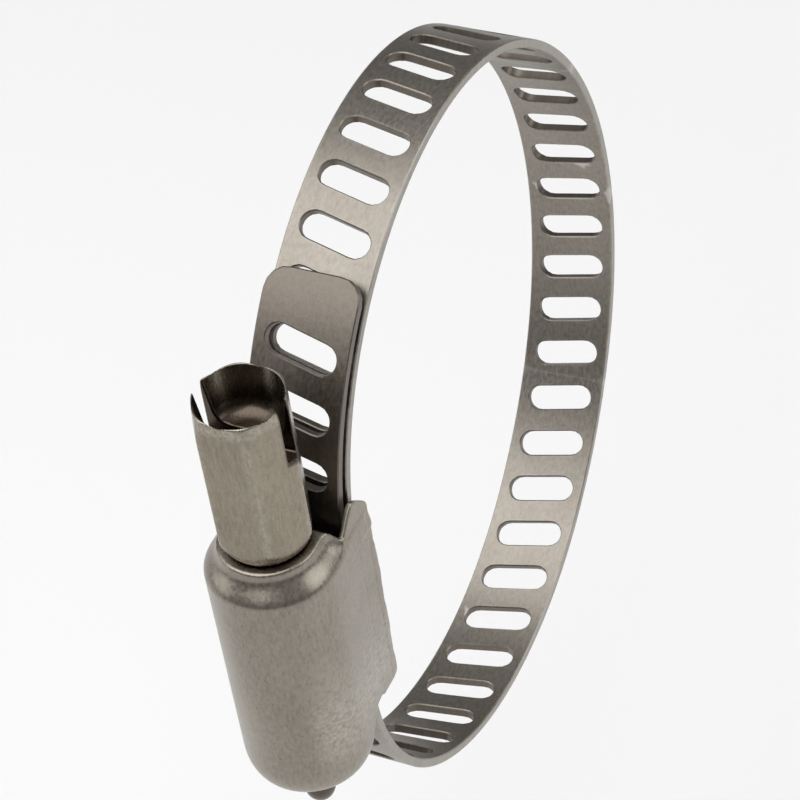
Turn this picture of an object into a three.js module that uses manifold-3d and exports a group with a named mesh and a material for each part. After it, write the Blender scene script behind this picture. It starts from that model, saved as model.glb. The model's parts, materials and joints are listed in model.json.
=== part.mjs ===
// Worm-drive hose clamp with a slotted 8 mm band, in millimetres.
// X points outward through the screw housing, Y runs across the band, Z runs along the screw towards its head.
// The origin is the centre of the loop. The band is one strip on the real clamp; here it is five links, so
// that the loop can close when the screw turns.
import * as THREE from 'three';
import { mergeVertices } from 'three/addons/utils/BufferGeometryUtils.js';
import Module from 'manifold-3d';

const wasm = await Module();
wasm.setup();

// ---- driving dimensions ----
const DEGREE = Math.PI / 180;
const GAP = 0.3;                      // clearance between neighbouring pieces

const BAND_WIDTH = 8;
const BAND_THICKNESS = 0.8;
const LAYER_STEP = 1.4;               // rise from the inner layer to the outer layer at the overlap
const FLAT_HALF = 8;                  // half length of the straight stretch under the housing
const SHOULDER_RADIUS = 23.5;
const SHOULDER_ANGLE = 55 * DEGREE;
const CROWN_RADIUS = 24.5;
const ARC_STEP = 6 * DEGREE;          // facet angle of the band

const SLOTS_PER_LOOP = 43;
const SLOT_WIDTH = 2.2;
const SLOT_LENGTH = 6.2;              // across the band, round ends included
const SLOT_SLANT = 12 * DEGREE;

const BAND_START = -1;                // the inner end stops here, half way under the housing
const FIRST_SLOT = 12;                // the inner layer is plain up to here
const TAIL_END = 29.1;                // how far the outer layer reaches beyond the housing centre
const CROWN_HINGE = 47;               // distance along the band from the housing centre
const EXIT_HINGE = 10.8;              // where the tail leaves the housing
const RISE_START = 60;                // the band starts to spiral outward here
const RISE_END = 14;                  // and has risen fully this far before the housing centre

const THREAD_RADIUS = 4.4;
const CORE_RADIUS = 3.4;
const THREAD_DEPTH_IN_BAND = 0.6;
const THREAD_FROM = -8.4;
const THREAD_TO = 6.2;
const THREAD_CREST = 1.0;             // thread width along the axis
const THREAD_FOOT = 2.0;
const NECK_RADIUS = 2.9;
const HEAD_FROM = 13.3;
const HEAD_TO = 27.6;
const HEAD_ACROSS_FLATS = 7;
const HEAD_CORNER_RADIUS = 3.7;       // the six edges are rounded down to this
const CUP_RADIUS = 2.75;
const CUP_DEPTH = 4;
const DRIVER_SLOT_WIDTH = 1.3;
const DRIVER_SLOT_DEPTH = 5.2;
const PILOT_RADIUS = 1.6;
const PILOT_END = -14.2;

const WALL = 0.6;
const ARCH_RADIUS = 4.75;             // inside of the housing, over the thread
const CHANNEL_HALF = 4.35;            // inside of the housing, beside the band
const HOUSING_FROM = -12.4;
const HOUSING_TO = 11;
const FOOT_FROM = -8.4;
const FOOT_TO = 7.4;
const FOOT_REACH = 2.0;               // how far each foot folds in under the band
const COLLAR_TO = 12.9;

// ---- derived dimensions of the loop ----
const CROWN_END_ANGLE = Math.PI - SHOULDER_ANGLE;
const BACK_RADIUS = (FLAT_HALF + SHOULDER_RADIUS * Math.sin(SHOULDER_ANGLE)) / Math.sin(SHOULDER_ANGLE);
const LOOP_DEPTH = SHOULDER_RADIUS * (1 - Math.cos(SHOULDER_ANGLE))
  + 2 * CROWN_RADIUS * Math.cos(SHOULDER_ANGLE)
  + BACK_RADIUS * (1 - Math.cos(SHOULDER_ANGLE));
const SEAT_X = LOOP_DEPTH / 2;        // inner face of the inner layer at the housing
const LOOP_ARCS = [
  { radius: SHOULDER_RADIUS, sweep: SHOULDER_ANGLE },
  { radius: CROWN_RADIUS, sweep: CROWN_END_ANGLE - SHOULDER_ANGLE },
  { radius: BACK_RADIUS, sweep: 2 * SHOULDER_ANGLE },
  { radius: CROWN_RADIUS, sweep: CROWN_END_ANGLE - SHOULDER_ANGLE },
  { radius: SHOULDER_RADIUS, sweep: SHOULDER_ANGLE },
];
const LOOP_LENGTH = 2 * FLAT_HALF + LOOP_ARCS.reduce((sum, arc) => sum + arc.radius * arc.sweep, 0);
const SLOT_PITCH = LOOP_LENGTH / SLOTS_PER_LOOP;
const STRIP_TOP = SEAT_X + LAYER_STEP + BAND_THICKNESS;
const SCREW_X = STRIP_TOP - THREAD_DEPTH_IN_BAND + THREAD_RADIUS;

// ---- materials ----
const steelLook = (color, roughness) => new THREE.MeshStandardMaterial({ color, roughness, metalness: 1 });
const bandSteel = steelLook(0x9c958a, 0.42);
const housingSteel = steelLook(0x98918a, 0.36);
const screwSteel = steelLook(0xa19a8c, 0.3);

// ---- solids ----
function solid(geometry) {
  const bare = geometry.clone();
  bare.deleteAttribute('normal');
  bare.deleteAttribute('uv');
  const merged = mergeVertices(bare, 1e-5);
  return new wasm.Manifold(new wasm.Mesh({
    numProp: 3,
    vertProperties: new Float32Array(merged.attributes.position.array),
    triVerts: new Uint32Array(merged.index.array),
  }));
}

function geometryOf(manifold) {
  const mesh = manifold.getMesh();
  const geometry = new THREE.BufferGeometry();
  geometry.setAttribute('position', new THREE.BufferAttribute(mesh.vertProperties, 3));
  geometry.setIndex(new THREE.BufferAttribute(mesh.triVerts, 1));
  return geometry;
}

function named(name, manifold, material) {
  const mesh = new THREE.Mesh(geometryOf(manifold), material);
  mesh.name = name;
  return mesh;
}

function cylinder(radius, from, to, sides = 32, x = 0) {
  const geometry = new THREE.CylinderGeometry(radius, radius, to - from, sides);
  geometry.rotateX(Math.PI / 2);
  geometry.translate(x, 0, (from + to) / 2);
  return solid(geometry);
}

function lathe(profile, sides = 32, x = 0) {
  const geometry = new THREE.LatheGeometry(profile.map(([r, z]) => new THREE.Vector2(r, z)), sides);
  geometry.rotateX(Math.PI / 2);
  geometry.translate(x, 0, 0);
  return solid(geometry);
}

function box(from, to) {
  const geometry = new THREE.BoxGeometry(to[0] - from[0], to[1] - from[1], to[2] - from[2]);
  geometry.translate((from[0] + to[0]) / 2, (from[1] + to[1]) / 2, (from[2] + to[2]) / 2);
  return solid(geometry);
}

// ---- the loop line ----
// Point on the inner face of the loop, at a distance along it from the housing centre towards the head side.
function loopPoint(distance) {
  const turns = Math.floor((distance + FLAT_HALF) / LOOP_LENGTH);
  let rest = distance - turns * LOOP_LENGTH;
  let x = SEAT_X;
  let z = Math.min(rest, FLAT_HALF);
  let angle = 0;
  rest -= FLAT_HALF;
  for (const arc of LOOP_ARCS) {
    if (rest <= 0) break;
    const sweep = Math.min(rest / arc.radius, arc.sweep);
    x += arc.radius * (Math.cos(angle + sweep) - Math.cos(angle));
    z += arc.radius * (Math.sin(angle + sweep) - Math.sin(angle));
    angle += sweep;
    rest -= arc.radius * arc.sweep;
  }
  if (rest > 0) z += rest;
  return { x, z, angle };
}

// Rise of the band above that line: none on the inner layer, one layer step on the outer layer.
function rise(distance) {
  const share = (distance - RISE_START) / (LOOP_LENGTH - RISE_END - RISE_START);
  const clamped = Math.min(Math.max(share, 0), 1);
  return LAYER_STEP * clamped * clamped * (3 - 2 * clamped);
}

function bandPoint(distance, height) {
  const { x, z, angle } = loopPoint(distance);
  const out = rise(distance) + height;
  return new THREE.Vector2(x + out * Math.cos(angle), z + out * Math.sin(angle));
}

// Stations along the band, close together on the arcs and at each change of curvature.
function stations(from, to) {
  const corners = [];
  for (let lap = 0; lap < 2; lap += 1) {
    let mark = lap * LOOP_LENGTH + FLAT_HALF;
    corners.push(mark);
    for (const arc of LOOP_ARCS) {
      const steps = Math.ceil(arc.sweep / ARC_STEP);
      for (let i = 1; i <= steps; i += 1) corners.push(mark + arc.radius * arc.sweep * i / steps);
      mark += arc.radius * arc.sweep;
    }
  }
  const inside = corners.filter((mark) => mark > from + 0.5 && mark < to - 0.5);
  return [from, ...inside, to];
}

// A slot cutter: a round-ended prism, slanted across the band, standing on its inner face.
function slotCutter(distance) {
  const shape = new THREE.Shape();
  const straight = (SLOT_LENGTH - SLOT_WIDTH) / 2;
  shape.absarc(straight, 0, SLOT_WIDTH / 2, -Math.PI / 2, Math.PI / 2, false);
  shape.absarc(-straight, 0, SLOT_WIDTH / 2, Math.PI / 2, 3 * Math.PI / 2, false);
  const depth = 3 * BAND_THICKNESS;
  const geometry = new THREE.ExtrudeGeometry(shape, { depth, bevelEnabled: false, curveSegments: 4 });
  geometry.translate(0, 0, -BAND_THICKNESS);
  // Local x runs across the band, local y towards the head along the band, local z outward.
  geometry.rotateZ(-SLOT_SLANT);
  const foot = bandPoint(distance, 0);
  const { angle } = loopPoint(distance);
  const across = new THREE.Vector3(0, 1, 0);
  const along = new THREE.Vector3(-Math.sin(angle), 0, Math.cos(angle));
  const outward = new THREE.Vector3(Math.cos(angle), 0, Math.sin(angle));
  const place = new THREE.Matrix4().makeBasis(across, along, outward);
  place.setPosition(foot.x, 0, foot.y);
  geometry.applyMatrix4(place);
  return solid(geometry);
}

function bandLink(name, from, to, cornerRadius = 0) {
  const marks = stations(from, to);
  const outline = new THREE.Shape([
    ...marks.map((mark) => bandPoint(mark, 0)),
    ...marks.reverse().map((mark) => bandPoint(mark, BAND_THICKNESS)),
  ]);
  const geometry = new THREE.ExtrudeGeometry(outline, { depth: BAND_WIDTH, bevelEnabled: false });
  geometry.rotateX(Math.PI / 2);
  geometry.translate(0, BAND_WIDTH / 2, 0);
  let link = solid(geometry);
  const first = Math.ceil(Math.max(from, FIRST_SLOT) / SLOT_PITCH - 0.5);
  for (let k = first; (k + 0.5) * SLOT_PITCH < to; k += 1) {
    const centre = (k + 0.5) * SLOT_PITCH;
    const margin = SLOT_WIDTH;
    if (centre - from > margin && to - centre > margin) link = link.subtract(slotCutter(centre));
  }
  if (cornerRadius > 0) link = link.subtract(tailCorners(to, cornerRadius));
  return named(name, link, bandSteel);
}

// What is cut off the two corners of the free end of the band, to round them.
function tailCorners(end, radius) {
  const half = BAND_WIDTH / 2 + 1;
  const edge = BAND_WIDTH / 2;
  const shape = new THREE.Shape();
  shape.moveTo(-half, 1);
  shape.lineTo(-half, -radius);
  shape.lineTo(-edge, -radius);
  shape.absarc(-edge + radius, -radius, radius, Math.PI, Math.PI / 2, true);
  shape.absarc(edge - radius, -radius, radius, Math.PI / 2, 0, true);
  shape.lineTo(half, -radius);
  shape.lineTo(half, 1);
  const depth = 4 * BAND_THICKNESS;
  const geometry = new THREE.ExtrudeGeometry(shape, { depth, bevelEnabled: false, curveSegments: 6 });
  geometry.translate(0, 0, -1.5 * BAND_THICKNESS);
  const foot = bandPoint(end, 0);
  const { angle } = loopPoint(end);
  const across = new THREE.Vector3(0, 1, 0);
  const along = new THREE.Vector3(-Math.sin(angle), 0, Math.cos(angle));
  const outward = new THREE.Vector3(Math.cos(angle), 0, Math.sin(angle));
  const place = new THREE.Matrix4().makeBasis(across, along, outward);
  place.setPosition(foot.x, 0, foot.y);
  geometry.applyMatrix4(place);
  return solid(geometry);
}

// ---- screw ----
// A right-hand thread: slices of a tapered tooth joined along a helix, with flat ends.
function thread() {
  const stepsPerTurn = 24;
  const turns = (THREAD_TO - THREAD_FROM) / SLOT_PITCH;
  const steps = Math.round(turns * stepsPerTurn);
  const inner = CORE_RADIUS - 0.3;
  const tooth = [[inner, -THREAD_FOOT / 2], [THREAD_RADIUS, -THREAD_CREST / 2],
    [THREAD_RADIUS, THREAD_CREST / 2], [inner, THREAD_FOOT / 2]];
  const points = [];
  const faces = [];
  // At z = 0 the thread points away from the band, so it meets the band half a pitch on, inside a slot.
  for (let i = 0; i <= steps; i += 1) {
    const z = THREAD_FROM + (THREAD_TO - THREAD_FROM) * i / steps;
    const turn = 2 * Math.PI * z / SLOT_PITCH;
    for (const [radius, shift] of tooth) {
      points.push(radius * Math.cos(turn), radius * Math.sin(turn), z + shift);
    }
    if (i === 0) continue;
    for (let j = 0; j < 4; j += 1) {
      const a = 4 * (i - 1) + j;
      const b = 4 * (i - 1) + (j + 1) % 4;
      faces.push(a, a + 4, b, b, a + 4, b + 4);
    }
  }
  const last = 4 * steps;
  faces.push(0, 1, 2, 0, 2, 3, last, last + 2, last + 1, last, last + 3, last + 2);
  const geometry = new THREE.BufferGeometry();
  geometry.setAttribute('position', new THREE.Float32BufferAttribute(points, 3));
  geometry.setIndex(faces);
  return solid(geometry);
}

function hexHead() {
  const prism = cylinder(HEAD_ACROSS_FLATS / 2 / Math.cos(30 * DEGREE), HEAD_FROM, HEAD_TO, 6);
  const radius = HEAD_CORNER_RADIUS;
  const chamfer = 0.55;
  const round = lathe([[0, HEAD_FROM], [radius - 2 * chamfer, HEAD_FROM], [radius, HEAD_FROM + 1.6 * chamfer],
    [radius, HEAD_TO - 3.2 * chamfer], [radius - 0.5 * chamfer, HEAD_TO - 1.4 * chamfer],
    [radius - 1.6 * chamfer, HEAD_TO], [0, HEAD_TO]], 36);
  const cup = lathe([[0, HEAD_TO - CUP_DEPTH], [CUP_RADIUS - 0.7, HEAD_TO - CUP_DEPTH],
    [CUP_RADIUS - 0.2, HEAD_TO - CUP_DEPTH + 0.7], [CUP_RADIUS, HEAD_TO + 1], [0, HEAD_TO + 1]], 30);
  const slotHalf = DRIVER_SLOT_WIDTH / 2;
  const slot = box([-slotHalf, -radius - 1, HEAD_TO - DRIVER_SLOT_DEPTH], [slotHalf, radius + 1, HEAD_TO + 1]);
  return prism.intersect(round).subtract(cup).subtract(slot);
}

function screw() {
  const shank = lathe([[0, PILOT_END], [PILOT_RADIUS - 0.4, PILOT_END], [PILOT_RADIUS, PILOT_END + 0.5],
    [PILOT_RADIUS, HOUSING_FROM + WALL + GAP], [CORE_RADIUS, HOUSING_FROM + WALL + 2 * GAP],
    [NECK_RADIUS, HEAD_FROM + 0.5], [0, HEAD_FROM + 0.5]]);
  const whole = shank.add(thread()).add(hexHead());
  const mesh = named('screw', whole, screwSteel);
  mesh.position.set(SCREW_X, 0, 0);
  return mesh;
}

// ---- housing ----
// Outline of the pressed shell across the clamp, from the band side up over the thread and down again.
// Shape x runs across the band, shape y outward from the loop line.
function shellOutline() {
  const footTop = -GAP;
  const footBottom = footTop - WALL;
  const outerHalf = CHANNEL_HALF + WALL;
  const outerRadius = ARCH_RADIUS + WALL;
  const centre = SCREW_X - SEAT_X;
  const tip = outerHalf - FOOT_REACH - WALL;
  const shape = new THREE.Shape();
  shape.moveTo(tip, footBottom);
  shape.lineTo(outerHalf - 1, footBottom);
  shape.absarc(outerHalf - 1, footBottom + 1, 1, -Math.PI / 2, 0, false);
  shape.lineTo(outerRadius, centre);
  shape.absarc(0, centre, outerRadius, 0, Math.PI, false);
  shape.lineTo(-outerHalf, footBottom + 1);
  shape.absarc(-outerHalf + 1, footBottom + 1, 1, Math.PI, 3 * Math.PI / 2, false);
  shape.lineTo(-tip, footBottom);
  shape.lineTo(-tip, footTop);
  shape.lineTo(-CHANNEL_HALF, footTop);
  shape.lineTo(-ARCH_RADIUS, centre);
  shape.absarc(0, centre, ARCH_RADIUS, Math.PI, 0, true);
  shape.lineTo(CHANNEL_HALF, footTop);
  shape.lineTo(tip, footTop);
  return shape;
}

// A solid block that fills the shell between two heights, down to a level above the seat: an end wall.
function shellCore(from, to, bottom) {
  const centre = SCREW_X - SEAT_X;
  const half = CHANNEL_HALF + WALL / 2;
  const radius = ARCH_RADIUS + WALL / 2;
  const shape = new THREE.Shape();
  shape.moveTo(half, bottom);
  shape.lineTo(radius, centre);
  shape.absarc(0, centre, radius, 0, Math.PI, false);
  shape.lineTo(-half, bottom);
  return upright(shape, from, to);
}

// Extrudes an outline along Z and puts it at the housing: shape x to +Y, shape y to +X.
function upright(shape, from, to) {
  const geometry = new THREE.ExtrudeGeometry(shape, { depth: to - from, bevelEnabled: false, curveSegments: 16 });
  const place = new THREE.Matrix4().makeBasis(
    new THREE.Vector3(0, -1, 0), new THREE.Vector3(1, 0, 0), new THREE.Vector3(0, 0, 1));
  place.setPosition(SEAT_X, 0, from);
  geometry.applyMatrix4(place);
  return solid(geometry);
}

function housing() {
  const clearTop = STRIP_TOP - SEAT_X + GAP;
  const neckHole = NECK_RADIUS + GAP;
  const pilotHole = PILOT_RADIUS + GAP;
  const collarRadius = neckHole + WALL;
  const aside = BAND_WIDTH;
  let shell = upright(shellOutline(), HOUSING_FROM, HOUSING_TO);
  // The feet are shorter than the shell.
  const footBox = (from, to) => box([SEAT_X - 3 * WALL, -aside, from], [SEAT_X + 2 * GAP, aside, to]);
  shell = shell.subtract(footBox(HOUSING_FROM - WALL, FOOT_FROM));
  shell = shell.subtract(footBox(FOOT_TO, HOUSING_TO + WALL));
  shell = shell.add(shellCore(HOUSING_FROM, HOUSING_FROM + WALL, clearTop));
  shell = shell.add(shellCore(HOUSING_TO - WALL, HOUSING_TO, clearTop));
  const collar = [[0, HOUSING_TO - WALL / 2], [collarRadius + 1, HOUSING_TO - WALL / 2],
    [collarRadius + 0.3, HOUSING_TO + 0.5], [collarRadius, COLLAR_TO], [0, COLLAR_TO]];
  shell = shell.add(lathe(collar, 32, SCREW_X));
  shell = shell.subtract(cylinder(neckHole, HOUSING_TO - 2 * WALL, COLLAR_TO + WALL, 32, SCREW_X));
  shell = shell.subtract(cylinder(pilotHole, HOUSING_FROM - WALL, HOUSING_FROM + 2 * WALL, 32, SCREW_X));
  // The end walls stay clear of the outer band layer.
  const mouthFrom = [SEAT_X, -CHANNEL_HALF, HOUSING_TO - 2 * WALL];
  shell = shell.subtract(box(mouthFrom, [SEAT_X + clearTop, CHANNEL_HALF, COLLAR_TO + WALL]));
  return named('housing', shell, housingSteel);
}

// ---- assembly ----
const clamp = new THREE.Group();
const halfGap = GAP / 2;
clamp.add(bandLink('band_anchor', BAND_START, CROWN_HINGE - halfGap));
clamp.add(bandLink('band_crown', CROWN_HINGE + halfGap, LOOP_LENGTH / 2 - halfGap));
clamp.add(bandLink('band_back', LOOP_LENGTH / 2 + halfGap, LOOP_LENGTH - CROWN_HINGE - halfGap));
clamp.add(bandLink('band_strip', LOOP_LENGTH - CROWN_HINGE + halfGap, LOOP_LENGTH + EXIT_HINGE - halfGap));
clamp.add(bandLink('band_tail', LOOP_LENGTH + EXIT_HINGE + halfGap, LOOP_LENGTH + TAIL_END, 1.8));
clamp.add(housing());
clamp.add(screw());

export default clamp;
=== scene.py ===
# A worm-drive hose clamp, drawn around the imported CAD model. The frame is the model's own: X outward through
# the screw housing, Y across the band, Z along the screw towards its head. Sizes are in millimetres, and
# points become metres as they go into a mesh. Lights, floor and camera are in metres.
import json
import math
import bmesh
import bpy
import numpy as np
from mathutils import Matrix, Vector


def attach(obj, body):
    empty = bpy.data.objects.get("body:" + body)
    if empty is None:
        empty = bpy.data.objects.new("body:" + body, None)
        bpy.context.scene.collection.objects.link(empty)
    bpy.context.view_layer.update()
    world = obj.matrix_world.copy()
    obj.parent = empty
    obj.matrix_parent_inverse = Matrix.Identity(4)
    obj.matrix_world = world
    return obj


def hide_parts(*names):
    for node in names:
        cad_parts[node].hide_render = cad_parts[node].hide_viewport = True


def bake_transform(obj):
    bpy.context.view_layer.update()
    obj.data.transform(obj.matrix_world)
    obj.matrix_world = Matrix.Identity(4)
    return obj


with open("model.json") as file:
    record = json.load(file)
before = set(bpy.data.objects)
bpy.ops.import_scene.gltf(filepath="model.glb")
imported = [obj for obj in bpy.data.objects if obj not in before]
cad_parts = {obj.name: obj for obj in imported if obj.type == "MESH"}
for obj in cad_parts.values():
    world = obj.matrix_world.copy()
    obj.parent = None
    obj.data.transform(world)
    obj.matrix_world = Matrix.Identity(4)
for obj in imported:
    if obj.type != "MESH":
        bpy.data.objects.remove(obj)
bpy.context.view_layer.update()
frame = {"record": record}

MM = 0.001

# ---- the loop of the band, with the CAD model's dimensions ----
BAND_WIDTH = 8.0
BAND_THICKNESS = 0.8
LAYER_STEP = 1.4                     # how far the outer layer lies above the inner one
FLAT_HALF = 8.0                      # half of the flat stretch under the housing
SHOULDER_RADIUS = 23.5
SHOULDER_ANGLE = math.radians(55)
CROWN_RADIUS = 24.5
BACK_RADIUS = (FLAT_HALF + SHOULDER_RADIUS * math.sin(SHOULDER_ANGLE)) / math.sin(SHOULDER_ANGLE)
ARCS = (
    (SHOULDER_RADIUS, SHOULDER_ANGLE),
    (CROWN_RADIUS, math.pi - 2 * SHOULDER_ANGLE),
    (BACK_RADIUS, 2 * SHOULDER_ANGLE),
    (CROWN_RADIUS, math.pi - 2 * SHOULDER_ANGLE),
    (SHOULDER_RADIUS, SHOULDER_ANGLE),
)
LOOP_LENGTH = 2 * FLAT_HALF + sum(radius * sweep for radius, sweep in ARCS)
SEAT_X = (                           # the flat stretch, with the loop centred on the origin
    SHOULDER_RADIUS * (1 - math.cos(SHOULDER_ANGLE))
    + 2 * CROWN_RADIUS * math.cos(SHOULDER_ANGLE)
    + BACK_RADIUS * (1 - math.cos(SHOULDER_ANGLE))
) / 2
SLOTS_PER_LOOP = 43
PITCH = LOOP_LENGTH / SLOTS_PER_LOOP
SLOT_WIDTH = 2.2
SLOT_LENGTH = 6.2
SLOT_SLANT = math.radians(12)
BAND_START = -1.0                    # the gripped end, as a distance along the loop
TAIL_END = 29.1                      # the free end, past one full loop
TAIL_CORNER = 1.8
RISE_START = 60.0                    # the strip climbs to the outer layer from here
RISE_END = 14.0                      # to here, short of one full loop
EDGE = 0.09                          # width of the broken edges of the band

# The screw's axis, from the mount in the slot of its head.
MOUNTS = {mount["name"]: mount for mount in frame["record"]["mounts"]}
SCREW_X = MOUNTS["driver_slot"]["pos_m"][0] / MM
SCREW_RISE = SCREW_X - SEAT_X


def loop_point(distance):
    """Point on the inner face of the loop, and the direction outward there."""
    rest = (distance + FLAT_HALF) % LOOP_LENGTH - FLAT_HALF
    x, z, angle = SEAT_X, min(rest, FLAT_HALF), 0.0
    rest -= FLAT_HALF
    for radius, sweep in ARCS:
        if rest <= 0:
            break
        part = min(rest / radius, sweep)
        x += radius * (math.cos(angle + part) - math.cos(angle))
        z += radius * (math.sin(angle + part) - math.sin(angle))
        angle += part
        rest -= radius * sweep
    return x, z + max(rest, 0.0), angle


def rise(distance):
    """Height of the strip above the loop, as it climbs from the inner layer to the outer one."""
    share = (distance - RISE_START) / (LOOP_LENGTH - RISE_END - RISE_START)
    share = min(max(share, 0.0), 1.0)
    return LAYER_STEP * share * share * (3 - 2 * share)


def on_loop(along, across, height):
    """A point of the flat band pattern, wrapped round the loop."""
    x, z, angle = loop_point(along)
    out = rise(along) + height
    return Vector((x + out * math.cos(angle), across, z + out * math.sin(angle))) * MM


def in_scene(name, data):
    """An object for a mesh, a light or a camera, linked to the scene."""
    thing = bpy.data.objects.new(name, data)
    bpy.context.scene.collection.objects.link(thing)
    return thing


# ---- the band: a flat pattern of slotted cells, wrapped round the loop ----
SEAM_STEPS = 12                      # quads across the band
RIM_STEPS = 8                        # quads along one cell
RINGS = (0.3, 0.65, 1.0)             # loops of points between a slot and the border of its cell
SLOT_SHADE = 0.75
UV_PER_MM = 0.01
SHARP_ANGLE = math.radians(25)


def both_halves(half_outline):
    """An outline with its copy turned half round."""
    return half_outline + [(-along, -across) for along, across in half_outline]


def slot_outline(grow):
    """Points round a slot, widened by grow, in step with the points round its cell: along and across."""
    radius = SLOT_WIDTH / 2
    half = SLOT_LENGTH / 2 - radius
    eighth = math.pi / 4
    length = 2 * half + 2 * radius * eighth
    outline = []
    for i in range(SEAM_STEPS):
        s = length * i / SEAM_STEPS - length / 2
        turn = max(abs(s) - half, 0.0) / radius
        across = half + (radius + grow) * math.sin(turn) if turn else abs(s)
        outline.append(((radius + grow) * math.cos(turn), math.copysign(across, s)))
    for i in range(RIM_STEPS):
        turn = eighth + 2 * eighth * i / RIM_STEPS
        outline.append(((radius + grow) * math.cos(turn), half + (radius + grow) * math.sin(turn)))
    cos, sin = math.cos(SLOT_SLANT), math.sin(SLOT_SLANT)
    return [(a * cos - c * sin, a * sin + c * cos) for a, c in both_halves(outline)]


def cell_outline(inset):
    """Points round a cell of one pitch, from its centre; the two rims are drawn in by inset."""
    rim = BAND_WIDTH / 2 - inset
    seam = [(PITCH / 2, -rim + 2 * rim * i / SEAM_STEPS) for i in range(SEAM_STEPS)]
    end = [(PITCH / 2 - PITCH * i / RIM_STEPS, rim) for i in range(RIM_STEPS)]
    return both_halves(seam + end)


def at_height(outline, height):
    return [(along, across, height) for along, across in outline]


def strips(loops, places):
    """Quads between neighbouring loops of points, at the given places along them."""
    quads = []
    for first, second in zip(loops, loops[1:]):
        for i in places:
            j = (i + 1) % len(first)
            quads.append([first[i], first[j], second[j], second[i]])
    return quads


def slotted_cell(centre):
    """Quads of one cell: the two faces, the wall of the slot and the two rims."""
    hole, lip, border = slot_outline(0), slot_outline(EDGE), cell_outline(EDGE)
    face = [lip]
    for share in RINGS:
        face.append([(a + (c - a) * share, b + (d - b) * share) for (a, b), (c, d) in zip(lip, border)])
    loops = [at_height(ring, BAND_THICKNESS) for ring in reversed(face)]
    loops += [at_height(hole, BAND_THICKNESS - EDGE), at_height(hole, EDGE)]
    loops += [at_height(ring, 0.0) for ring in face]
    rim = cell_outline(0)
    skirt = [loops[-1], at_height(rim, EDGE), at_height(rim, BAND_THICKNESS - EDGE), loops[0]]
    all_round = range(len(border))
    rims = [i for i in all_round if i % (SEAM_STEPS + RIM_STEPS) >= SEAM_STEPS]
    quads = strips(loops, all_round) + strips(skirt, rims)
    return [[(along + centre, across, height) for along, across, height in quad] for quad in quads]


def cells(first, last):
    quads = []
    for k in range(first, last):
        quads += slotted_cell((k + 0.5) * PITCH)
    return quads


def plain_stretch(start, end, steps, end_corner=0.0):
    """Quads of a stretch without slots; end_corner rounds the corners of its far end."""
    straight_to = BAND_WIDTH / 2 - end_corner

    def station(i, share, inset):
        across = (BAND_WIDTH / 2 - inset) * share
        reach = end
        if end_corner and abs(across) <= straight_to:
            reach = end - inset
        elif end_corner:
            radius = end_corner - inset
            into = abs(across) - straight_to
            reach = end - end_corner + math.sqrt(max(radius * radius - into * into, 0.0))
        return start + (reach - start) * i / steps, across

    shares = [-1 + 2 * i / SEAM_STEPS for i in range(SEAM_STEPS + 1)]
    if end_corner:
        shares = sorted(math.sin(s * math.pi / 2) for s in shares)
    quads = []
    for height, order in ((BAND_THICKNESS, 1), (0.0, -1)):
        for i in range(steps):
            for s, t in zip(shares, shares[1:]):
                corners = [(i, s), (i + 1, s), (i + 1, t), (i, t)]
                quad = [(*station(k, share, EDGE), height) for k, share in corners]
                quads.append(quad[::order])
    near = [(i, -1.0) for i in range(steps + 1)]
    far = [(i, 1.0) for i in range(steps, -1, -1)]
    tip = [(steps, s) for s in shares[1:-1]]
    for side in [near + tip + far] if end_corner else [near, far]:
        inner = [station(i, s, EDGE) for i, s in side]
        outer = [station(i, s, 0.0) for i, s in side]
        rows = [
            at_height(inner, 0.0),
            at_height(outer, EDGE),
            at_height(outer, BAND_THICKNESS - EDGE),
            at_height(inner, BAND_THICKNESS),
        ]
        quads += strips(rows, range(len(side) - 1))
    return quads


def band_piece(name, quads, material, darkening=0.0):
    """A mesh from quads of the flat pattern, wrapped round the loop, with its open ends closed.

    The UV map holds the flat pattern, for the grain. "recess" is high on the walls of the slots and takes the
    darkening elsewhere: both painted shade.
    """
    bm = bmesh.new()
    grain = bm.loops.layers.uv.new("grain")
    shade = bm.verts.layers.float.new("recess")
    found = {}
    for quad in quads:
        corners = []
        for point in quad:
            key = tuple(round(value, 4) for value in point)
            if key not in found:
                vertex = bm.verts.new(on_loop(*point))
                # Painted shade: the slot walls get SLOT_SHADE, the rest the darkening of the piece.
                in_slot = abs(point[1]) < BAND_WIDTH / 2 - 2 * EDGE and 0 < point[2] < BAND_THICKNESS
                vertex[shade] = SLOT_SHADE if in_slot else darkening
                found[key] = vertex
            corners.append(found[key])
        unique = list(dict.fromkeys(corners))
        if len(unique) < 3:
            continue
        face = bm.faces.get(unique) or bm.faces.new(unique)
        for loop in face.loops:
            along, across, _ = quad[corners.index(loop.vert)]
            loop[grain].uv = (along * UV_PER_MM, across * UV_PER_MM)
    open_edges = [edge for edge in bm.edges if edge.is_boundary]
    bmesh.ops.holes_fill(bm, edges=open_edges, sides=0)
    bmesh.ops.recalc_face_normals(bm, faces=bm.faces)
    mesh = bpy.data.meshes.new(name)
    bm.to_mesh(mesh)
    bm.free()
    mesh.shade_smooth()
    mesh.set_sharp_from_angle(angle=SHARP_ANGLE)
    mesh.materials.append(material)
    return in_scene(name, mesh)


# ---- solids from distance fields, for the pressed and turned pieces ----
CUBE = [(i, j, k) for i in (0, 1) for j in (0, 1) for k in (0, 1)]
SETTLE_STEPS = 3                     # Newton steps that bring the points onto the surface
LEAST_SLOPE = 0.05


def blend_max(a, b, soft):
    """The greater of two fields, rounded where they are about equal: an intersection with a fillet."""
    h = np.clip(0.5 - 0.5 * (b - a) / soft, 0, 1)
    return b + (a - b) * h + soft * h * (1 - h)


def blend_min(a, b, soft):
    """The lesser of two fields, rounded: a union with a fillet."""
    return -blend_max(-a, -b, soft)


def ramp(value, low, high):
    """A smooth step from 0 at low to 1 at high."""
    share = np.clip((value - low) / (high - low), 0, 1)
    return share * share * (3 - 2 * share)


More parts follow.
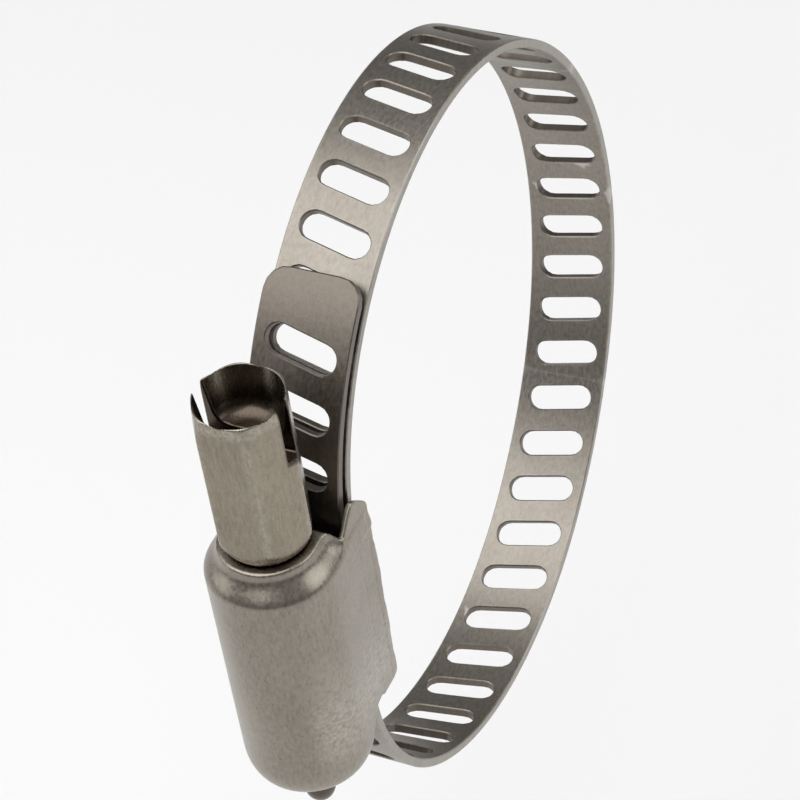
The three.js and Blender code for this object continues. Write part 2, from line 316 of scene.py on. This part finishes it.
def gradient(field, points, cell):
    """The field's slope at the points, and its value there."""
    step = cell * 0.1
    slope = np.zeros_like(points)
    for i in range(3):
        ahead, behind = points.copy(), points.copy()
        ahead[:, i] += step
        behind[:, i] -= step
        slope[:, i] = (field(*ahead.T) - field(*behind.T)) / (2 * step)
    return slope, field(*points.T)


def cell_points(value, active):
    """A point in each active cell, in cells: the mean of where the surface cuts the cell's edges."""
    at = {corner: value[tuple((active + np.array(corner)).T)] for corner in CUBE}
    total = np.zeros((len(active), 3))
    hits = np.zeros(len(active))
    for start in CUBE:
        for axis in range(3):
            if start[axis]:
                continue
            stop = tuple(1 if i == axis else start[i] for i in range(3))
            a, b = at[start], at[stop]
            cut = (a < 0) != (b < 0)
            t = np.where(cut, a / np.where(cut, a - b, 1), 0)
            for i in range(3):
                total[:, i] += np.where(cut, start[i] + (t if i == axis else 0), 0)
            hits += cut
    return active + total / hits[:, None]


def cell_quads(inside, number):
    """A quad across each grid edge that the surface cuts, between the points of the four cells round it."""
    quads = []
    for axis in range(3):
        u, v = (axis + 1) % 3, (axis + 2) % 3
        near = np.take(inside, range(inside.shape[axis] - 1), axis)
        far = np.take(inside, range(1, inside.shape[axis]), axis)
        for cut, order in ((near & ~far, 1), (~near & far, -1)):
            edge = np.argwhere(cut)
            around = []
            for du, dv in ((-1, -1), (0, -1), (0, 0), (-1, 0)):
                index = edge.copy()
                index[:, u] += du
                index[:, v] += dv
                around.append(number[tuple(index.T)])
            quads.append(np.stack(around[::order], 1))
    quads = np.concatenate(quads)
    assert quads.min() >= 0, "the surface leaves the sampled box"
    return quads


def field_mesh(name, field, low, high, cell, material):
    """The zero surface of a field, as a closed mesh of quads whose points and normals lie on the field."""
    axes = [np.arange(a, b + cell, cell) for a, b in zip(low, high)]
    value = field(*np.meshgrid(*axes, indexing="ij")).astype(np.float32)
    inside = value < 0
    shape = tuple(n - 1 for n in value.shape)
    count = np.zeros(shape, np.int8)
    for i, j, k in CUBE:
        count += inside[i:i + shape[0], j:j + shape[1], k:k + shape[2]]
    active = np.argwhere((count > 0) & (count < len(CUBE)))
    number = np.full(shape, -1, np.int64)
    number[tuple(active.T)] = np.arange(len(active))
    points = np.array([axis[0] for axis in axes]) + cell_points(value, active) * cell
    for _ in range(SETTLE_STEPS):
        slope, here = gradient(field, points, cell)
        step = here / np.maximum((slope ** 2).sum(1), LEAST_SLOPE)
        points -= np.clip(step, -cell, cell)[:, None] * slope
    slope, _ = gradient(field, points, cell)
    normals = slope / np.linalg.norm(slope, axis=1)[:, None]
    mesh = bpy.data.meshes.new(name)
    mesh.from_pydata((points * MM).tolist(), [], cell_quads(inside, number).tolist())
    mesh.shade_smooth()
    mesh.normals_split_custom_set_from_vertices(normals.tolist())
    mesh.materials.append(material)
    return in_scene(name, mesh), points


def mark(piece, name, values):
    """Writes a number for each vertex, for the material to read."""
    attribute = piece.data.attributes.new(name, "FLOAT", "POINT")
    attribute.data.foreach_set("value", np.asarray(values, np.float32))


# ---- shape of the screw ----
HEAD_FROM = 13.05
HEAD_TO = 27.6
HEAD_FLAT = 3.5                      # half of the width across flats
HEAD_CORNER = 4.02
HEAD_TOP_RADIUS = 3.6                # of the cone that breaks the corners at the top
HEAD_TOP_TAPER = 0.3
HEAD_FOOT_RADIUS = 3.3               # of the cone that breaks the corners at the foot
HEAD_FOOT_TAPER = 0.5
CUP_RADIUS = 3.42                    # at the rim; the flats cut into it, so the rim dips between the corners
CUP_TAPER = 0.15
CUP_FLOOR = 23.5
DRIVER_HALF = 0.66                   # the slot for a screwdriver
DRIVER_FLOOR = 22.4
NECK_RADIUS = 2.9
NECK_MIDDLE = 10.6
NECK_HALF = 3.2
CORE_RADIUS = 3.4
CORE_FROM = -11.2
CORE_TO = 8.0
THREAD_RADIUS = 4.4
THREAD_FROM = -8.4
THREAD_TO = 6.2
CREST_HALF = 0.5                     # half of the thread's width at its crest
FLANK_SLOPE = 0.42
PILOT_RADIUS = 1.6
PILOT_FROM = -9.0
PILOT_END = -14.2
CONE_EASE = 0.9                      # keeps the field of a sloping face from rising faster than distance


def head_field(x, y, z):
    """Hexagonal head, with a cup in its top and a slot across the cup."""
    radius = np.hypot(x, y)
    flats = np.abs(x)
    for turn in (60, 120):
        a = math.radians(turn)
        flats = blend_max(flats, np.abs(x * math.cos(a) + y * math.sin(a)), soft=0.04)
    hexagon = blend_max(flats - HEAD_FLAT, radius - HEAD_CORNER, soft=0.05)
    top = radius + HEAD_TOP_TAPER * (z - HEAD_TO) - HEAD_TOP_RADIUS
    foot = (radius - HEAD_FOOT_TAPER * (z - HEAD_FROM) - HEAD_FOOT_RADIUS) * CONE_EASE
    head = blend_max(hexagon, blend_max(top, foot, soft=0.2), soft=0.32)
    head = blend_max(head, np.maximum(z - HEAD_TO, HEAD_FROM - z), soft=0.2)
    cup = blend_max(radius - CUP_RADIUS - CUP_TAPER * (z - HEAD_TO), CUP_FLOOR - z, soft=1.3)
    head = blend_max(head, -cup, soft=0.12)
    slot = blend_max(np.abs(x) - DRIVER_HALF, DRIVER_FLOOR - z, soft=0.25)
    return blend_max(head, -slot, soft=0.16)


def shank_field(x, y, z):
    """Core and pilot tip, with the worm thread."""
    radius = np.hypot(x, y)
    core = blend_max(radius - CORE_RADIUS, np.maximum(z - CORE_TO, CORE_FROM - z), soft=0.3)
    pilot = blend_max(radius - PILOT_RADIUS, np.maximum(z - PILOT_FROM, PILOT_END - z), soft=0.8)
    turn = np.arctan2(y, x)
    lift = (z - PITCH * turn / (2 * math.pi) + PITCH / 2) % PITCH - PITCH / 2
    half_width = CREST_HALF + (THREAD_RADIUS - radius) * FLANK_SLOPE
    thread = blend_max((np.abs(lift) - half_width) * CONE_EASE, radius - THREAD_RADIUS, soft=0.25)
    thread = blend_max(thread, np.maximum(z - THREAD_TO, THREAD_FROM - z), soft=0.3)
    return blend_min(np.minimum(core, pilot), thread, soft=0.3)


def screw_field(x, y, z):
    x = x - SCREW_X
    neck = np.maximum(np.hypot(x, y) - NECK_RADIUS, np.abs(z - NECK_MIDDLE) - NECK_HALF)
    return np.minimum(np.minimum(shank_field(x, y, z), neck), head_field(x, y, z))


# ---- shape of the housing; "out" is the distance outward from the seat of the band ----
WALL = 0.52
DOME_RADIUS = 5.32
SIDE_HALF = 4.95                     # half width at the band
SIDE_FROM = -10.0                    # the side walls stop short of the domed end
HOUSING_FROM = -12.7
HOUSING_TO = 11.0
COLLAR_TO = 12.85
COLLAR_RADIUS = 4.05
SHOULDER_ALONG = (10.2, 12.4)        # where the dome draws in to the collar
SHOULDER_OUT = (2.4, 5.0)
COLLAR_OUT = (2.9, 4.4)              # where the mouth's edge steps up to the collar
END_OUT = (2.4, 5.4)                 # where the side walls' end goes over into the domed end
FACE_EASE = 0.8                      # keeps the field of a sloping face from rising faster than distance
END_WALL = 1.3
HOLLOW_TO = 10.2
PASSAGE_HEIGHT = 2.75                # the way through for the outer layer of the band
HOLE_CLEARANCE = 0.3                 # round the neck and the pilot of the screw
NECK_HOLE_FROM = 8.0
LOBE = (2.2, 1.5, -13.3)             # out from the screw's axis, across, along
LOBE_RADIUS = 1.3
SIDE_TOP = 1.5
SIDE_PAST_MOUTH = 0.3
FOOT_FROM = -8.4
FOOT_TO = 7.4
FOOT_DEPTH = 0.9
FOOT_TIP = 2.4
FOOT_GAP = 0.32                      # from the band down to the feet
EAR_FROM = 9.0
EAR_TO = 13.6
EAR_OUT = 1.3
EAR_SLOPE = 1.05
EAR_BLUNTNESS = 0.15
EAR_TOP = 4.5
EAR_EASE = 0.65


def dome_field(out, y, z):
    """The closed shell: it draws in to a seat for the head in one S-shaped shoulder, and ends in a dome."""
    section = np.hypot(np.maximum(out - SCREW_RISE, 0), y)
    half = SIDE_HALF + (DOME_RADIUS - SIDE_HALF) * ramp(out, 0, SCREW_RISE)
    half = half - ramp(z, *SHOULDER_ALONG) * (DOME_RADIUS - COLLAR_RADIUS) * ramp(out, *SHOULDER_OUT)
    top = HOUSING_TO + (COLLAR_TO - HOUSING_TO) * ramp(out, *COLLAR_OUT)
    end = SIDE_FROM + (HOUSING_FROM - SIDE_FROM) * ramp(out, *END_OUT)
    dome = blend_max(section - half, (end - z) * FACE_EASE, soft=2.6)
    dome = blend_max(dome, (z - top) * FACE_EASE, soft=0.35)
    # A small lobe closes the domed end beside the pilot of the screw.
    lobe_out, lobe_across, lobe_along = LOBE
    lobe = np.sqrt(
        (out - SCREW_RISE - lobe_out) ** 2 + (y - lobe_across) ** 2 + ((z - lobe_along) * FACE_EASE) ** 2
    ) - LOBE_RADIUS
    dome = blend_min(dome, lobe, soft=0.25)
    # Hollow for the thread, and open to the band.
    hollow_ends = np.maximum(HOUSING_FROM + END_WALL - z, z - HOLLOW_TO)
    hollow = blend_max(section - (half - WALL), hollow_ends, soft=1.2)
    passage = blend_max(np.abs(y) - (SIDE_HALF - WALL), out - PASSAGE_HEIGHT, soft=0.5)
    from_axis = np.hypot(out - SCREW_RISE, y)
    neck_hole = np.maximum(from_axis - NECK_RADIUS - HOLE_CLEARANCE, NECK_HOLE_FROM - z)
    pilot_hole = np.maximum(from_axis - PILOT_RADIUS - HOLE_CLEARANCE, z - PILOT_FROM)
    dome = blend_max(dome, -hollow, soft=0.2)
    dome = blend_max(dome, -passage, soft=0.2)
    dome = blend_max(dome, -np.minimum(neck_hole, pilot_hole), soft=0.15)
    return blend_max(dome, -out, soft=0.2)


def housing_field(x, y, z):
    out = x - SEAT_X
    # The side walls run past the band, ragged from the shears, and fold in as two feet.
    rag = 0.07 * np.sin(1.1 * z + 0.6) + 0.03 * np.sin(3.1 * z)
    wall = np.maximum(np.abs(y) - SIDE_HALF - 0.02, (SIDE_HALF - WALL) - np.abs(y))
    side = blend_max(wall, np.maximum(rag - FOOT_DEPTH - out, out - SIDE_TOP), soft=0.2)
    side = blend_max(side, np.maximum(SIDE_FROM - z, z - HOUSING_TO - SIDE_PAST_MOUTH), soft=2.4)
    foot = np.maximum(np.abs(y) - SIDE_HALF, FOOT_TIP + rag - np.abs(y))
    foot = blend_max(foot, np.maximum(rag * 0.5 - FOOT_DEPTH - out, out + FOOT_GAP), soft=0.2)
    foot = blend_max(foot, np.maximum(FOOT_FROM - z, z - FOOT_TO), soft=0.9)
    # An ear stands up on each side of the mouth.
    peak = z - EAR_TO - 0.2 * np.sin(3 * y) + EAR_SLOPE * np.sqrt((out - EAR_OUT) ** 2 + EAR_BLUNTNESS)
    ear = blend_max(wall, np.maximum(peak * EAR_EASE, EAR_FROM - z), soft=0.2)
    ear = blend_max(ear, np.maximum(-FOOT_DEPTH - out, out - EAR_TOP), soft=0.3)
    shell = blend_min(dome_field(out, y, z), blend_min(side, foot, soft=0.3), soft=0.15)
    return blend_min(shell, ear, soft=0.3)


# ---- materials ----
SPECK = (0.13, 0.11, 0.095, 1)
# Paler edges on the strip: rubbed edges and a painted edge highlight.
RUBBED_AND_HIGHLIGHT = (0.74, 0.72, 0.68, 1)
# Paler scratched places; along the screw head's corners also a painted highlight.
SCRATCHED_AND_SHEEN = (0.72, 0.69, 0.62, 1)
# Colour of grime and painted shade in recesses.
GRIME_AND_SHADE = (0.09, 0.072, 0.057, 1)
BUMP_DEPTH = 0.00003


def steel(name, colour, stain, roughness, grain, clouding=0.4, on_strip=False):
    """Worn satin steel: colour drift, clouds, fine grain, specks, and paler rubbed places, partly painted
    highlight.

    On the strip the patterns follow the flat pattern of the band, and its edges are paled: rubbed edges and a
    painted edge highlight. Elsewhere they follow the object, and a number on the mesh says where it is rubbed,
    partly a painted highlight along the screw head's corners. "recess" brings grime and painted shade.
    """
    material = bpy.data.materials.new(name)
    material.use_nodes = True
    nodes, links = material.node_tree.nodes, material.node_tree.links
    shader = nodes["Principled BSDF"]
    shader.inputs["Metallic"].default_value = 1.0
    if on_strip:
        source = nodes.new("ShaderNodeUVMap")
        source.uv_map = "grain"
        place = source.outputs["UV"]
        per_mm = 1 / UV_PER_MM
    else:
        place = nodes.new("ShaderNodeTexCoord").outputs["Object"]
        per_mm = 1 / MM

    def feed(socket, value):
        if isinstance(value, bpy.types.NodeSocket):
            links.new(value, socket)
        else:
            socket.default_value = value

    def noise(scale, detail, stretch=(1, 1, 1), rough=0.55):
        mapping = nodes.new("ShaderNodeMapping")
        feed(mapping.inputs["Scale"], [per_mm * s for s in stretch])
        feed(mapping.inputs["Vector"], place)
        texture = nodes.new("ShaderNodeTexNoise")
        feed(texture.inputs["Scale"], scale)
        feed(texture.inputs["Detail"], detail)
        feed(texture.inputs["Roughness"], rough)
        feed(texture.inputs["Vector"], mapping.outputs["Vector"])
        return texture.outputs["Fac"]

    def spread(value, low, high, to_low=0.0, to_high=1.0):
        node = nodes.new("ShaderNodeMapRange")
        for key, number in (("From Min", low), ("From Max", high), ("To Min", to_low), ("To Max", to_high)):
            feed(node.inputs[key], number)
        feed(node.inputs["Value"], value)
        return node.outputs["Result"]

    def mix(share, first, second):
        node = nodes.new("ShaderNodeMix")
        node.data_type = "RGBA"
        feed(node.inputs[0], share)
        feed(node.inputs[6], first)
        feed(node.inputs[7], second)
        return node.outputs[2]

    def combine(operation, first, second):
        node = nodes.new("ShaderNodeMath")
        node.operation = operation
        feed(node.inputs[0], first)
        feed(node.inputs[1], second)
        return node.outputs["Value"]

    def times(first, second):
        return combine("MULTIPLY", first, second)

    def marked(attribute):
        node = nodes.new("ShaderNodeAttribute")
        node.attribute_name = attribute
        return node.outputs["Fac"]

    def scaled(factor):
        return tuple(min(value * factor, 1) for value in colour[:3]) + (1,)

    drift = spread(noise(0.22, 4), 0.35, 0.7)
    fine = noise(4.0, 6, grain)
    mottle = spread(noise(1.9, 6, rough=0.72), 0.36, 0.66)
    specks = spread(noise(3.4, 3, rough=0.5), 0.66, 0.74)
    recess = marked("recess")
    tone = mix(times(drift, 0.6), colour, stain)
    tone = mix(times(mottle, clouding), tone, scaled(0.62))
    tone = mix(times(spread(fine, 0.35, 0.65), 0.4), tone, scaled(1.45))
    tone = mix(times(specks, 0.55), tone, SPECK)
    if on_strip:
        # Edges paled from Pointiness: rubbed edges and a painted edge highlight, kept off the slot walls and
        # the darkened free end.
        edges = spread(nodes.new("ShaderNodeNewGeometry").outputs["Pointiness"], 0.53, 0.62)
        open_to_edge_brightening = spread(recess, 0.0, 0.6, 0.5, 0.0)
        tone = mix(times(edges, open_to_edge_brightening), tone, RUBBED_AND_HIGHLIGHT)
    else:
        # Paler scratched places where the mesh's number says so; along the screw head's corners partly a
        # painted highlight.
        scratches = spread(noise(3.2, 6, (0.5, 1.0, 1.0), 0.65), 0.35, 0.7)
        tone = mix(times(times(marked("scuff_and_sheen"), scratches), 0.45), tone, SCRATCHED_AND_SHEEN)
    # Where "recess" is high the colour darkens: grime and painted shade.
    feed(shader.inputs["Base Color"], mix(times(recess, 0.85), tone, GRIME_AND_SHADE))
    feed(shader.inputs["Roughness"], spread(fine, 0.25, 0.75, roughness - 0.07, roughness + 0.1))
    bump = nodes.new("ShaderNodeBump")
    feed(bump.inputs["Strength"], 0.5)
    feed(bump.inputs["Distance"], BUMP_DEPTH)
    feed(bump.inputs["Height"], combine("ADD", times(fine, 0.8), times(noise(6.0, 3), 0.6)))
    feed(shader.inputs["Normal"], bump.outputs["Normal"])
    return material


# ---- the band's pieces ----
FIRST_CELL = 3                       # the gripped end has no slots before this one
CROWN_CUT = 17                       # the strip is cut into pieces at these cells
BACK_CUT = 26
EXIT_CUT = SLOTS_PER_LOOP - 2
TAIL_CELLS_TO = SLOTS_PER_LOOP + 6
ANCHOR_STEPS = 20
TAIL_STEPS = 8
# The free end's colour is darkened, a painted shade.
TAIL_DARKENING = 0.65
# Two distances along the loop at each joint, handed to blended().
CROWN_BEND = (33, 62)
BACK_BEND = (75, 109)
LOWER_BEND = (122, 152)
TAIL_BEND = (LOOP_LENGTH + 8.5, LOOP_LENGTH + 13.5)


def blended(piece, bodies, bend, *nodes):
    """Bakes a band piece's placement into its mesh, and hides the CAD nodes it stands for."""
    start, end = bend
    on_loop(start, 0, 0)
    on_loop(end, 0, 0)
    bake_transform(piece)
    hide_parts(*nodes)


def band():
    material = steel(
        "band_steel", (0.29, 0.264, 0.232, 1), (0.21, 0.188, 0.158, 1),
        roughness=0.38, grain=(0.45, 1.0, 1), clouding=0.65, on_strip=True,
    )
    anchor_side = plain_stretch(BAND_START, FIRST_CELL * PITCH, ANCHOR_STEPS) + cells(FIRST_CELL, CROWN_CUT)
    crown_side = cells(CROWN_CUT, BACK_CUT)
    lower_side = cells(BACK_CUT, EXIT_CUT)
    free_end = cells(EXIT_CUT, TAIL_CELLS_TO)
    free_end += plain_stretch(TAIL_CELLS_TO * PITCH, LOOP_LENGTH + TAIL_END, TAIL_STEPS, TAIL_CORNER)
    blended(
        band_piece("band_anchor_side", anchor_side, material),
        ("housing", "band_crown"), CROWN_BEND, "band_anchor",
    )
    blended(
        band_piece("band_crown_side", crown_side, material),
        ("band_crown", "band_back"), BACK_BEND, "band_crown",
    )
    blended(
        band_piece("band_lower_side", lower_side, material),
        ("band_back", "band_strip"), LOWER_BEND, "band_back", "band_strip",
    )
    blended(
        band_piece("band_free_end", free_end, material, TAIL_DARKENING),
        ("band_strip", "band_tail"), TAIL_BEND, "band_tail",
    )


# ---- the screw and the housing ----
SCREW_CELL = 0.1                     # spacing of the grid that a field is sampled on
HOUSING_CELL = 0.13
SCREW_REACH = 4.9                    # half width of the box that is sampled
HOUSING_REACH = 5.7


def screw():
    material = steel(
        "screw_steel", (0.29, 0.255, 0.20, 1), (0.21, 0.18, 0.135, 1), roughness=0.25, grain=(1, 1, 0.25)
    )
    low = (SCREW_X - SCREW_REACH, -SCREW_REACH, PILOT_END - 0.3)
    high = (SCREW_X + SCREW_REACH, SCREW_REACH, HEAD_TO + 0.3)
    piece, points = field_mesh("worm_screw", screw_field, low, high, SCREW_CELL, material)
    x, across, along = points.T
    out = x - SCREW_X
    radius = np.hypot(out, across)
    # Grime and painted shade in the cup and in the slot, and painted shade round the thread.
    above_floor = ramp(along, 21.8, 22.2)
    in_cup = (1 - ramp(radius, CUP_RADIUS - 0.35, CUP_RADIUS + 0.1)) * above_floor
    in_cup *= 1.15 - ramp(along, 24.2, HEAD_TO) * 0.9
    in_slot = (1 - ramp(np.abs(out), 0.7, 0.95)) * above_floor * 1.15
    in_thread = (1 - ramp(along, 11.6, 13.3)) * 0.8
    mark(piece, "recess", np.maximum(np.maximum(in_cup, in_slot), in_thread))
    # Wear along the six corners, partly a painted highlight that marks the hex edges, and wear round the
    # crown's rim.
    from_corner = (np.arctan2(across, out) % (math.pi / 3) - math.pi / 6) * radius
    corners = 0.6 * np.exp(-(from_corner / 0.3) ** 2) * ramp(radius, 3.3, 3.7) * ramp(along, 13.2, 14.8)
    rim = ramp(along, 26.2, 26.9) * ramp(radius, 3.3, 3.6)
    mark(piece, "scuff_and_sheen", np.maximum(corners, rim))
    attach(piece, "screw")
    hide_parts("screw")


def housing():
    material = steel(
        "housing_steel", (0.30, 0.269, 0.23, 1), (0.22, 0.195, 0.16, 1), roughness=0.30, grain=(1, 1, 0.4)
    )
    low = (SEAT_X - 1.4, -HOUSING_REACH, HOUSING_FROM - 2.8)
    high = (SCREW_X + HOUSING_REACH, HOUSING_REACH, EAR_TO + 0.5)
    piece, points = field_mesh("pressed_housing", housing_field, low, high, HOUSING_CELL, material)
    x, across, along = points.T
    # Painted shade inside, where little light comes.
    section = np.hypot(np.maximum(x - SCREW_X, 0), across)
    hollow_half = SIDE_HALF - WALL
    inside = (1 - ramp(section, hollow_half, hollow_half + 0.25)) * (1 - ramp(along, 10.4, 11.6))
    inside *= ramp(x, SEAT_X - 0.2, SEAT_X + 0.4)
    mark(piece, "recess", inside)
    # A scuffed patch low on the near side.
    mark(piece, "scuff_and_sheen", np.exp(-((along + 4.5) / 4.0) ** 2) * ramp(across, 2.6, 4.2))
    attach(piece, "housing")
    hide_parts("housing")


# ---- floor, light and camera, in metres ----
FLOOR_HALF = 3.0
FLOOR_Z = -0.10


def floor():
    """Pale paper that turns grey on the near side, out of the picture, so that the head's faces differ."""
    corners = [(-1, -1), (1, -1), (1, 1), (-1, 1)]
    mesh = bpy.data.meshes.new("floor")
    mesh.from_pydata([(FLOOR_HALF * x, FLOOR_HALF * y, FLOOR_Z) for x, y in corners], [], [(0, 1, 2, 3)])
    material = bpy.data.materials.new("floor_paper")
    material.use_nodes = True
    nodes, links = material.node_tree.nodes, material.node_tree.links
    shader = nodes["Principled BSDF"]
    shader.inputs["Roughness"].default_value = 0.9
    place = nodes.new("ShaderNodeTexCoord")
    axes = nodes.new("ShaderNodeSeparateXYZ")
    tone = nodes.new("ShaderNodeMapRange")
    for key, number in (("From Min", 0.05), ("From Max", 0.11), ("To Min", 0.93), ("To Max", 0.76)):
        tone.inputs[key].default_value = number
    links.new(place.outputs["Object"], axes.inputs["Vector"])
    links.new(axes.outputs["X"], tone.inputs["Value"])
    links.new(tone.outputs["Result"], shader.inputs["Base Color"])
    mesh.materials.append(material)
    in_scene("floor", mesh)


def soft_light(name, position, size, power):
    """A rectangular lamp that faces the origin."""
    data = bpy.data.lights.new(name, "AREA")
    data.shape = "RECTANGLE"
    data.size, data.size_y = size
    data.energy = power
    light = in_scene(name, data)
    light.location = position
    light.rotation_euler = (-Vector(position)).to_track_quat("-Z", "Y").to_euler()


def studio():
    """White surroundings, brighter overhead than at the horizon."""
    world = bpy.data.worlds.new("studio")
    world.use_nodes = True
    nodes, links = world.node_tree.nodes, world.node_tree.links
    direction = nodes.new("ShaderNodeTexCoord")
    axes = nodes.new("ShaderNodeSeparateXYZ")
    strength = nodes.new("ShaderNodeMapRange")
    for key, number in (("From Min", -0.05), ("From Max", 0.8), ("To Min", 0.14), ("To Max", 0.42)):
        strength.inputs[key].default_value = number
    links.new(direction.outputs["Generated"], axes.inputs["Vector"])
    links.new(axes.outputs["Z"], strength.inputs["Value"])
    links.new(strength.outputs["Result"], nodes["Background"].inputs["Strength"])
    nodes["Background"].inputs["Color"].default_value = (1.0, 1.0, 1.0, 1)
    bpy.context.scene.world = world


def camera(azimuth, elevation, roll, distance, aim, lens):
    """A camera that looks at aim, from angles in degrees; azimuth 90 looks along -X."""
    data = bpy.data.cameras.new("camera")
    data.lens = lens
    data.sensor_width = 36
    data.clip_start = 0.01
    view = in_scene("camera", data)
    a, e = math.radians(azimuth), math.radians(elevation)
    back = Vector((math.sin(a) * math.cos(e), -math.cos(a) * math.cos(e), math.sin(e)))
    turn = back.to_track_quat("Z", "Y").to_matrix() @ Matrix.Rotation(math.radians(roll), 3, "Z")
    view.matrix_world = Matrix.Translation(Vector(aim) + back * distance) @ turn.to_4x4()
    bpy.context.scene.camera = view


band()
screw()
housing()
floor()
soft_light("key", position=(0.36, -0.20, 0.90), size=(1.2, 1.1), power=8.5)
soft_light("left", position=(0.30, -0.85, 0.35), size=(0.7, 0.6), power=1.6)
soft_light("right", position=(-0.3, 0.85, 0.5), size=(0.9, 0.6), power=3.0)
studio()
camera(
    azimuth=120.37, elevation=43.12, roll=-9.12, distance=0.25, aim=(0.00299, -0.00379, -0.00073), lens=131.9
)
bpy.context.scene.view_settings.view_transform = "Standard"
